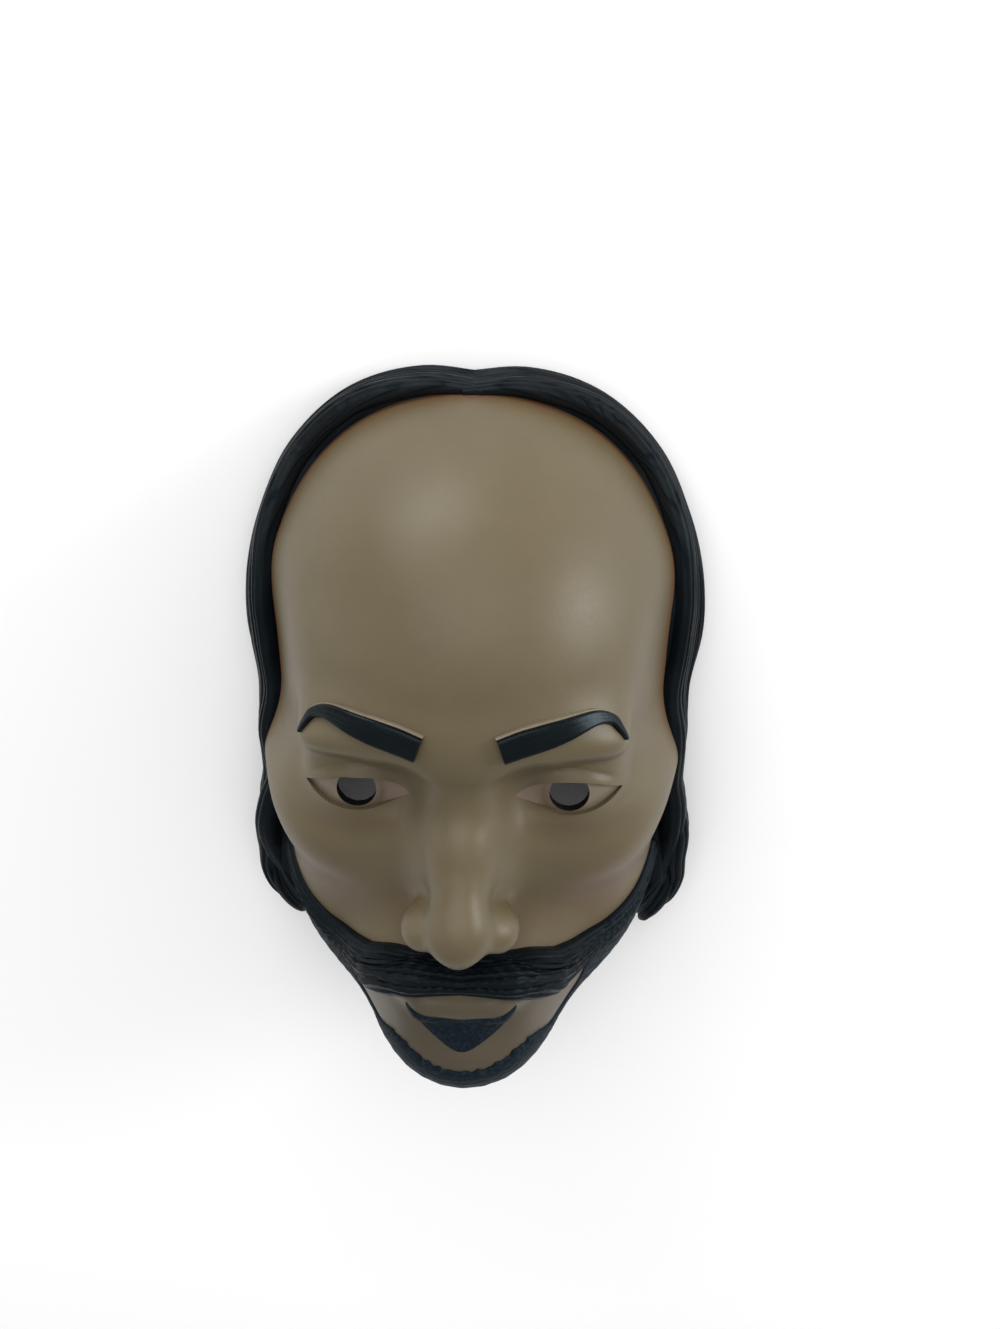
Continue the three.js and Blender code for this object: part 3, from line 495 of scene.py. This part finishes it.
# ---- brows and beard -------------------------------------------------------
def beard_pieces():
    line = [(-1.5, -56.6, 90), (12, -57.4, 88), (25, -61.5, 82), (37, -66.5, 72), (47, -67, 60), (55, -62.5, 46), (61, -56, 32), (64, -50, 22)]
    moustache = strip(line, [6.6, 7.6, 8.4, 8.0, 6.6, 5.2, 4.6, 4.4, 4.4], [3.4, 5.4, 6.0, 5.2, 3.6, 2.6, 2.2, 2.0, 2.0], 112, 48, count=8, groove=1.0, wave=0.3, edge=0.2)
    arch = [(11.5, 21.8, 90), (20, 24.6, 90), (30, 26.8, 86), (38, 27.4, 79), (43.2, 25.6, 75.3), (46.3, 22.4, 75), (47.4, 18.6, 73.8)]
    half = [3.8, 3.9, 3.7, 3.2, 2.4, 1.5, 0.6]
    brow = strip(arch, half, [2.3, 2.4, 2.4, 2.3, 2.1, 1.7, 1.0], 72, 22, count=4, groove=0.05, round_=0.22, flat=6, edge=0.2)
    # A thin raised rim along each brow's upper edge, in paler paint: partly the rim's own colour, partly a painted
    # highlight along the brow's edge.
    highlight_rim = strip(beside(arch, half, 30, 0.15), [0.5, 0.55, 0.55, 0.55, 0.5, 0.4], [1.3, 1.7, 1.8, 1.7, 1.3, 0.6], 60, 7, count=1, groove=0.0, round_=0.5, sink=1.2)
    chin = band([(0, -100, 82.2), (7.6, -99.2, 81), (13.4, -97, 78.8), (18.2, -94.4, 75.5), (22.4, -92.8, 71), (25.8, -94, 65.8), (28.8, -96, 60.3), (31.4, -94.6, 56.8),
                 (34.3, -91.4, 53.6), (38, -86.5, 52.5), (42.3, -77, 55.3), (47.5, -69.3, 54.5), (53, -64, 46), (58, -59, 37), (62.2, -52.5, 27)],
                [(0, -117.3, 54), (10, -115.5, 53.5), (20, -111, 50.5), (28, -103.8, 47), (34, -97.5, 44), (38.5, -93.5, 41.3), (43.5, -89.2, 38.4), (48.5, -85, 35.8),
                 (53, -80, 32.8), (57, -74, 29.4), (60.5, -67.5, 25.5), (63.2, -60, 21), (65, -51.5, 16)],
                [1.9, 1.8, 1.5, 1.1, 0.9, 0.9, 1.1, 1.4, 1.6], 264, 50, jag=1.3)
    n, m = 40, 48
    t, v = np.linspace(0, 1, n)[:, None], np.linspace(-1, 1, m)[None, :]
    x = v * (16.5 * (1 - t ** 1.9) ** 0.75 + 0.9)
    y = -75.5 - 17.0 * t + 4.2 * v ** 2 * (1 - t)
    p = np.stack([x, y, np.full(x.shape, 120.0)], -1).reshape(-1, 3)
    for i in range(80):
        p[:, 2] -= plain(p) * 0.75
    N = slope(plain, p).reshape(n, m, 3)
    H = 0.2 + 1.4 * np.sqrt((1 - np.abs(v) ** 5) * (1 - np.abs(2 * t - 1) ** 6)) + 0.3 * strands(v * 10 + 1.4 * t * v)
    patch = relief(p.reshape(n, m, 3), N, H, 2.0)
    out = [(patch, SLATE), (chin, SLATE)]
    for piece, m_ in ((moustache, HAIR), (brow, BROW), (highlight_rim, RIM_HIGHLIGHT)):
        out += [(piece, m_), (mirrored(piece), m_)]
    return out


# ---- materials -------------------------------------------------------------
def node_material(name):
    m = bpy.data.materials.new(name)
    m.use_nodes = True
    return m, m.node_tree, m.node_tree.nodes["Principled BSDF"]


def link(tree, a, b):
    tree.links.new(a, b)


def noise(tree, coord, scale, detail=3.0, rough=0.5, distortion=0.0):
    n = tree.nodes.new("ShaderNodeTexNoise")
    n.inputs["Scale"].default_value = scale
    n.inputs["Detail"].default_value = detail
    n.inputs["Roughness"].default_value = rough
    n.inputs["Distortion"].default_value = distortion
    link(tree, coord, n.inputs["Vector"])
    return n.outputs["Fac"]


def ranged(tree, value, lo, hi, to_lo, to_hi):
    n = tree.nodes.new("ShaderNodeMapRange")
    n.inputs["From Min"].default_value, n.inputs["From Max"].default_value = lo, hi
    n.inputs["To Min"].default_value, n.inputs["To Max"].default_value = to_lo, to_hi
    link(tree, value, n.inputs["Value"])
    return n.outputs["Result"]


def mixed(tree, fac, a, b, blend="MIX"):
    n = tree.nodes.new("ShaderNodeMix")
    n.data_type = "RGBA"
    n.blend_type = blend
    for v, i in ((fac, 0), (a, 6), (b, 7)):
        if isinstance(v, (int, float)):
            n.inputs[i].default_value = v
        elif isinstance(v, tuple):
            n.inputs[i].default_value = (*v, 1)
        else:
            link(tree, v, n.inputs[i])
    return n.outputs[2]


def times(tree, a, b):
    n = tree.nodes.new("ShaderNodeMath")
    n.operation = "MULTIPLY"
    link(tree, a, n.inputs[0])
    if isinstance(b, (int, float)):
        n.inputs[1].default_value = b
    else:
        link(tree, b, n.inputs[1])
    return n.outputs[0]


def attribute(tree, name, kind="Fac"):
    n = tree.nodes.new("ShaderNodeAttribute")
    n.attribute_name = name
    return n.outputs[kind]


def bumped(tree, bsdf, height, strength, distance):
    n = tree.nodes.new("ShaderNodeBump")
    n.inputs["Strength"].default_value = strength
    n.inputs["Distance"].default_value = distance
    link(tree, height, n.inputs["Height"])
    link(tree, n.outputs["Normal"], bsdf.inputs["Normal"])


def object_coord(tree):
    return tree.nodes.new("ShaderNodeTexCoord").outputs["Object"]


def painted_skin():
    m, t, b = node_material("painted_skin")
    c = object_coord(t)
    cloudy = noise(t, c, 26, 4, 0.55)
    mottled = noise(t, c, 120, 5, 0.6)
    col = mixed(t, ranged(t, cloudy, 0.35, 0.65, 0, 1), (0.098, 0.076, 0.039), (0.110, 0.086, 0.045))
    col = mixed(t, times(t, ranged(t, mottled, 0.4, 0.7, 0, 1), 0.3), col, (0.088, 0.069, 0.036))
    col = mixed(t, times(t, attribute(t, "rosy"), ranged(t, cloudy, 0.3, 0.7, 0.75, 1)), col, (0.096, 0.052, 0.023))
    col = mixed(t, times(t, attribute(t, "warm"), ranged(t, mottled, 0.3, 0.7, 0.7, 1)), col, (0.110, 0.050, 0.022))
    # shade attribute: painted shade, darkening the skin toward a dark brown.
    col = mixed(t, attribute(t, "shade"), col, (0.044, 0.033, 0.025))
    link(t, col, b.inputs["Base Color"])
    link(t, ranged(t, noise(t, c, 900, 2), 0.3, 0.7, 0.43, 0.47), b.inputs["Roughness"])
    b.inputs["Specular IOR Level"].default_value = 0.36
    bumped(t, b, noise(t, c, 1500, 2, 0.5), 0.18, 0.00020)
    return m


def eye_white():
    m, t, b = node_material("eye_paint")
    c = object_coord(t)
    cloudy = noise(t, c, 220, 4, 0.55)
    col = mixed(t, ranged(t, cloudy, 0.35, 0.65, 0, 1), (0.135, 0.108, 0.076), (0.155, 0.126, 0.090))
    col = mixed(t, times(t, attribute(t, "corner"), 0.5), col, (0.130, 0.074, 0.056))
    link(t, col, b.inputs["Base Color"])
    b.inputs["Roughness"].default_value = 0.36
    b.inputs["Specular IOR Level"].default_value = 0.4
    bumped(t, b, noise(t, c, 1300, 2), 0.12, 0.0002)
    return m


# Paler than the skin: the brow rim's paint, partly a painted highlight along the brow's upper edge.
def pale_rim_highlight():
    m, t, b = node_material("brow_edge_highlight")
    c = object_coord(t)
    link(t, mixed(t, ranged(t, noise(t, c, 160, 3), 0.3, 0.7, 0, 1), (0.120, 0.096, 0.064), (0.150, 0.120, 0.082)), b.inputs["Base Color"])
    b.inputs["Roughness"].default_value = 0.42
    bumped(t, b, noise(t, c, 1200, 2), 0.2, 0.0003)
    return m


def black_hair(name, dark, light, rough_lo, rough_hi, shine, bump_, fleck=0.4, gain=1.6, combed=False):
    m, t, b = node_material(name)
    c = object_coord(t)
    wide = noise(t, c, 60, 4, 0.6)
    scrape = noise(t, c, 700, 4, 0.65, 0.6)
    col = mixed(t, ranged(t, wide, 0.35, 0.68, 0, 1), dark, light)
    col = mixed(t, times(t, ranged(t, scrape, 0.5, 0.75 if fleck < 0.5 else 0.62, 0, 1), fleck), col, tuple(x * gain for x in light))
    height = scrape
    if combed:
        fine = noise(t, attribute(t, "strand", "Vector"), 1.0, 3, 0.6, 0.15)
        # crown: painted light on the top of the hair, strongest on the strand ridges, together with worn, lighter
        # paint there.
        col = mixed(t, times(t, attribute(t, "crown"), ranged(t, fine, 0.3, 0.7, 0.45, 1)), col, (0.0135, 0.0150, 0.0165))
        # Darker where the combed grain's bump sits low: painted shade in the grooves between the strands.
        col = mixed(t, times(t, attribute(t, "combed"), ranged(t, fine, 0.49, 0.36, 0, 0.9)), col, dark)
        height = mixed(t, times(t, attribute(t, "combed"), 0.6), scrape, fine)
    link(t, col, b.inputs["Base Color"])
    link(t, ranged(t, scrape, 0.3, 0.7, rough_lo, rough_hi), b.inputs["Roughness"])
    b.inputs["Specular IOR Level"].default_value = shine
    b.inputs["Specular Tint"].default_value = (0.62, 0.86, 1.0, 1)
    bumped(t, b, height, bump_, 0.0004)
    return m


def matt_inside():
    m, t, b = node_material("inside_black")
    c = object_coord(t)
    col = mixed(t, ranged(t, noise(t, c, 90, 4), 0.3, 0.7, 0, 1), (0.0035, 0.0035, 0.0040), (0.0075, 0.0075, 0.0080))
    b.inputs["Specular IOR Level"].default_value = 0.2
    link(t, col, b.inputs["Base Color"])
    link(t, ranged(t, noise(t, c, 260, 3), 0.3, 0.7, 0.55, 0.75), b.inputs["Roughness"])
    bumped(t, b, noise(t, c, 900, 3, 0.6), 0.3, 0.0006)
    return m


materials = [
    painted_skin(),
    black_hair("hair_black", (0.0022, 0.0032, 0.0044), (0.0046, 0.0064, 0.0082), 0.33, 0.46, 0.085, 0.45, combed=True),
    black_hair("brow_black", (0.0018, 0.0024, 0.0026), (0.0030, 0.0038, 0.0040), 0.24, 0.32, 0.15, 0.08),
    black_hair("beard_slate", (0.0040, 0.0072, 0.0108), (0.0068, 0.0112, 0.0160), 0.48, 0.60, 0.10, 0.60, fleck=0.85, gain=2.1),
    matt_inside(),
    pale_rim_highlight(),
    eye_white(),
]


# ---- putting the mask together --------------------------------------------
def mesh_object(name, VF, material):
    V, F = VF[:2]
    me = bpy.data.meshes.new(name)
    me.from_pydata([tuple(v) for v in ((V + OFFSET) * 0.001)], [], F)
    for m in materials:
        me.materials.append(m)
    me.polygons.foreach_set("material_index", np.broadcast_to(np.asarray(material, np.int32), len(me.polygons)).copy())
    me.update()
    o = bpy.data.objects.new(name, me)
    bpy.context.scene.collection.objects.link(o)
    return o


def boolean(target, tools, operation):
    group = bpy.data.collections.new("tools")
    bpy.context.scene.collection.children.link(group)
    for o in tools:
        bpy.context.scene.collection.objects.unlink(o)
        group.objects.link(o)
    md = target.modifiers.new("b", "BOOLEAN")
    md.operation, md.solver = operation, "MANIFOLD"
    md.operand_type, md.collection = "COLLECTION", group
    bpy.context.view_layer.update()
    dg = bpy.context.evaluated_depsgraph_get()
    made = bpy.data.meshes.new_from_object(target.evaluated_get(dg))
    target.modifiers.clear()
    old = target.data
    target.data = made
    bpy.data.meshes.remove(old)
    for o in tools:
        bpy.data.objects.remove(o)
    bpy.data.collections.remove(group)
    return target


def prism(points, z0, z1):
    n = len(points)
    V = np.array([(x, y, z) for z in (z0, z1) for x, y in points])
    F = [list(range(n))[::-1], list(range(n, 2 * n))] + [[i, (i + 1) % n, n + (i + 1) % n, n + i] for i in range(n)]
    return V, F


def lid_opening():
    """What is cut away between the lids: down to the eyeball, or to the flesh at the corners."""
    u = np.linspace(-1.25, 1.25, 2501)
    up, lo = lid_lines(u)
    u = u[up > lo + 0.05]
    n, m = 72, 26
    k = np.linspace(-1, 1, n)
    u = (u[0] + u[-1]) / 2 + (u[-1] - u[0]) / 2 * np.sin(k * math.pi / 2)
    up, lo = lid_lines(u)
    w = np.linspace(0, 1, m)
    x = EYE[0] + 14.8 * u[:, None] + 0 * w[None, :]
    y = EYE[1] + lo[:, None] + (up - lo)[:, None] * w[None, :]
    p = np.stack([x, y, np.full(x.shape, 112.0)], -1).reshape(-1, 3)
    for i in range(90):
        p[:, 2] -= bare(p) * 0.75
    over = np.array(p)
    over[:, 2] = 112
    for i in range(90):
        over[:, 2] -= plain(over) * 0.75
    dx, dy = p[:, 0] - EYE[0], p[:, 1] - EYE[1]
    ball = EYE[2] + np.sqrt(np.maximum(EYE_BALL ** 2 - dx ** 2 - dy ** 2, 0))
    shallow = over[:, 2] - 3.0 * np.sqrt(np.repeat(1 - np.abs(k) ** 2.5, m))
    p[:, 2] = -join(-np.maximum(p[:, 2], shallow), -ball, 3.0)
    top = p.copy()
    top[:, 2] = 112
    V = np.vstack([p, top])
    idx = np.arange(n * m).reshape(n, m)
    q = np.stack([idx[:-1, :-1], idx[1:, :-1], idx[1:, 1:], idx[:-1, 1:]], -1).reshape(-1, 4)
    F = q[:, ::-1].tolist() + (q + n * m).tolist()
    mats = [EYEBALL] * len(q) + [SKIN] * len(q)
    ring = list(idx[:, 0]) + list(idx[-1, 1:]) + list(idx[::-1, -1][1:]) + list(idx[0, ::-1][1:-1])
    for i in range(len(ring)):
        a, b = ring[i], ring[(i + 1) % len(ring)]
        F.append([a, b, b + n * m, a + n * m])
        mats.append(SKIN)
    return V, F, mats


def eye_hole(side):
    pts = []
    for i in range(72):
        a = 2 * math.pi * i / 72
        x, y = 6.0 * math.cos(a), 6.0 * math.sin(a)
        if y > 4.3:
            y = 4.3 + 0.12 * (y - 4.3)
        pts.append((side * EYE[0] + x, EYE[1] + 0.4 + y))
    return prism(pts, 30, 110)


def neck_arch():
    n = 160
    ring = [(-118 + 58 * math.cos(2 * math.pi * i / n), -6 + 46 * math.sin(2 * math.pi * i / n)) for i in range(n)]
    V = np.array([(x, y, z) for x in (-100, 100) for y, z in ring])
    F = [list(range(n))[::-1], list(range(n, 2 * n))] + [[i, (i + 1) % n, n + (i + 1) % n, n + i] for i in range(n)]
    return V, F


def slab():
    V = np.array([(x, y, z) for z in (-40, 0) for x, y in ((-200, -200), (200, -200), (200, 200), (-200, 200))])
    return V, [[3, 2, 1, 0], [4, 5, 6, 7], [0, 1, 5, 4], [1, 2, 6, 5], [2, 3, 7, 6], [3, 0, 4, 7]]


mask = mesh_object("mask_shell", dome(skin(face, 186, 226, across, upward, 24, fineness), -3), SKIN)
boolean(mask, [mesh_object("neck", neck_arch(), INSIDE)], "DIFFERENCE")
opening = lid_opening()
for vf in (opening, mirrored(opening[:2])):
    boolean(mask, [mesh_object("lids", vf, opening[2])], "DIFFERENCE")
boolean(mask, [mesh_object("p", vf, m) for vf, m in hair_pieces() + beard_pieces()], "UNION")
flat = lambda t: 1 + bump(t, 0, 0.5)
ones = lambda P: np.ones(P.shape[:-1])
cutters = [mesh_object("c", vf, INSIDE) for vf in (dome(skin(hollow, 70, 88, flat, flat, 8, ones), -8), eye_hole(1), eye_hole(-1), slab())]
for c in cutters:
    boolean(mask, [c], "DIFFERENCE")


def keep_largest(me):
    """Drops gaps shut in between locks: only the outermost surface is kept."""
    nv = len(me.vertices)
    e = np.zeros(len(me.edges) * 2, np.int64)
    me.edges.foreach_get("vertices", e)
    e = e.reshape(-1, 2)
    label = np.arange(nv)
    while True:
        low = np.minimum(label[e[:, 0]], label[e[:, 1]])
        new = label.copy()
        np.minimum.at(new, e[:, 0], low)
        np.minimum.at(new, e[:, 1], low)
        new = new[new]
        if (new == label).all():
            break
        label = new
    ids, counts = np.unique(label, return_counts=True)
    keep = ids[counts.argmax()]
    if len(ids) > 1:
        import bmesh
        bm = bmesh.new()
        bm.from_mesh(me)
        bm.verts.ensure_lookup_table()
        bmesh.ops.delete(bm, geom=[bm.verts[i] for i in np.nonzero(label != keep)[0]], context="VERTS")
        bm.to_mesh(me)
        bm.free()
    return len(ids)


parts = keep_largest(mask.data)
me = mask.data

# Paint by place on the head: airbrushed warm and rosy tones, and painted shade (shade) in recesses and over the lower
# face.
co = np.zeros(len(me.vertices) * 3)
me.vertices.foreach_get("co", co)
co = co.reshape(-1, 3) * 1000 - OFFSET
x, y, z = np.abs(co[:, 0]), co[:, 1], co[:, 2]
beta = np.degrees(np.arctan2(y - MID, x))
over = z - hairline(beta) * (1 - 0.25 * smooth(-10, -40, beta))


def blob(c, r):
    return np.exp(-(((np.stack([x, y, z], 1) - np.array(c, float)) / np.array(r, float)) ** 2).sum(1))


warm = np.exp(-(np.maximum(over, 0) / 6.5) ** 2) * smooth(-45, -25, beta) * 0.85
rosy = 0.85 * blob((42, -40, 55), (16, 16, 22)) + 0.55 * blob((19, -44, 80), (6, 9, 9)) + 0.35 * blob((30, -12, 70), (14, 5, 12))
# shade: painted shade beside the nose wings, in the inner eye sockets by the nose bridge, and over the lower face from
# below the moustache down to the chin.
shade = 0.55 * blob((16, -47, 82), (6, 6, 7)) + 0.30 * blob((19, 3, 74), (6, 9, 9)) + 0.52 * smooth(-58, -72, y) + 0.12 * smooth(-80, -118, y)
corner = smooth(33, 19, x)
# crown: painted light on the top of the hair, together with worn, lighter paint there.
crown = smooth(25, 85, y)
combed = smooth(-44, -30, y)
for name, value in (("warm", warm), ("rosy", rosy), ("shade", shade), ("corner", corner), ("crown", crown), ("combed", combed)):
    a = me.attributes.new(name, "FLOAT", "POINT")
    a.data.foreach_set("value", np.clip(value, 0, 1).astype(np.float32))
# a grain that runs with the strands, from the parting down each side
a = me.attributes.new("strand", "FLOAT_VECTOR", "POINT")
grain = np.stack([12 * z / hairline(beta) + 0.6 * plain(np.stack([x, y, z], -1)) + 0.5 * np.sin(beta * 0.07), beta / 26, 0 * z], -1)
a.data.foreach_set("vector", grain.astype(np.float32).ravel())

# Smooth, with an edge where two colours meet or the surface turns sharply.
me.polygons.foreach_set("use_smooth", np.ones(len(me.polygons), bool))
me.set_sharp_from_angle(angle=math.radians(42))
mats = np.zeros(len(me.polygons), np.int32)
me.polygons.foreach_get("material_index", mats)
loops = np.zeros(len(me.loops), np.int32)
me.loops.foreach_get("edge_index", loops)
sizes = np.zeros(len(me.polygons), np.int32)
me.polygons.foreach_get("loop_total", sizes)
per_loop = np.repeat(mats, sizes)
lo_, hi_ = np.full(len(me.edges), 99), np.full(len(me.edges), -1)
np.minimum.at(lo_, loops, per_loop)
np.maximum.at(hi_, loops, per_loop)
for i in np.nonzero(lo_ != hi_)[0]:
    me.edges[int(i)].use_edge_sharp = True
me.update()

mask.name = "mask_shell"
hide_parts("mask")
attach(mask, "root")

# ---- floor, light, camera --------------------------------------------------
floor_me = bpy.data.meshes.new("floor")
floor_me.from_pydata([(-4, -4, 0), (4, -4, 0), (4, 4, 0), (-4, 4, 0)], [], [(0, 1, 2, 3)])
floor = bpy.data.objects.new("floor", floor_me)
bpy.context.scene.collection.objects.link(floor)
fm, ft, fb = node_material("floor_white")
fb.inputs["Roughness"].default_value = 0.9
fb.inputs["Specular IOR Level"].default_value = 0.2
link(ft, mixed(ft, noise(ft, object_coord(ft), 3, 2), (0.93, 0.93, 0.93), (0.95, 0.95, 0.95)), fb.inputs["Base Color"])
fb.inputs["Emission Color"].default_value = (1, 1, 1, 1)
# A lit sweep: the floor glows a little, but not close to or under the mask.
reach = ft.nodes.new("ShaderNodeVectorMath")
reach.operation = "LENGTH"
link(ft, object_coord(ft), reach.inputs[0])
link(ft, ranged(ft, reach.outputs["Value"], 0.10, 0.30, 0.0, 0.09), fb.inputs["Emission Strength"])
floor_me.materials.append(fm)

world = bpy.data.worlds.new("studio")
bpy.context.scene.world = world
world.use_nodes = True
world.node_tree.nodes["Background"].inputs[0].default_value = (1.0, 1.0, 1.0, 1)
world.node_tree.nodes["Background"].inputs[1].default_value = 0.62


def area(name, where, aim, w, h, energy, colour=(1, 1, 1)):
    light = bpy.data.lights.new(name, "AREA")
    light.shape, light.size, light.size_y, light.energy, light.color = "RECTANGLE", w, h, energy, colour
    o = bpy.data.objects.new(name, light)
    bpy.context.scene.collection.objects.link(o)
    o.location = where
    o.rotation_mode = "QUATERNION"
    o.rotation_quaternion = (Vector(where) - Vector(aim)).to_track_quat("Z", "Y")


area("key", (-0.05, 0.80, 1.15), (0, 0.0, 0.05), 1.60, 0.90, 9.0)
area("crown", (-0.36, 1.06, 0.20), (0, 0.06, 0.05), 0.75, 0.24, 6.0)
area("left", (-1.00, 0.10, 0.30), (0, 0.0, 0.05), 0.20, 0.5, 0.6)
area("right", (0.97, 0.34, 0.28), (0, 0.0, 0.05), 0.37, 0.36, 6.0)

cam = bpy.data.cameras.new("camera")
camera = bpy.data.objects.new("camera", cam)
bpy.context.scene.collection.objects.link(camera)
bpy.context.scene.camera = camera
cam.sensor_width = 36.0
cam.lens = 35.3
cam.clip_start, cam.clip_end = 0.02, 20
YAW, PITCH, DISTANCE, AIM = 3.0, 28.0, 0.4188, (0.0, 0.0, 0.045)
AIM_PX = (467.5, 754.0)
ya, pa = math.radians(YAW), math.radians(PITCH)
back = Vector((math.sin(ya) * math.cos(pa), math.sin(pa), math.cos(ya) * math.cos(pa)))
# The aimed point falls on AIM_PX of the 1000 by 1329 frame.
f_px = cam.lens / 36.0 * 1329
right0 = Vector((0, 1, 0)).cross(back).normalized()
up0 = back.cross(right0)
ray = Vector(((AIM_PX[0] - 500) / f_px, -(AIM_PX[1] - 664.5) / f_px, -1.0)).normalized()
place = Vector(AIM) + back * DISTANCE
turn = Matrix((right0, up0, back)).transposed()
swing = (turn @ ray).rotation_difference(-back)
R = swing.to_matrix() @ turn
m4 = R.to_4x4()
m4.translation = place
camera.matrix_world = m4
bpy.context.scene.view_settings.view_transform = "Standard"
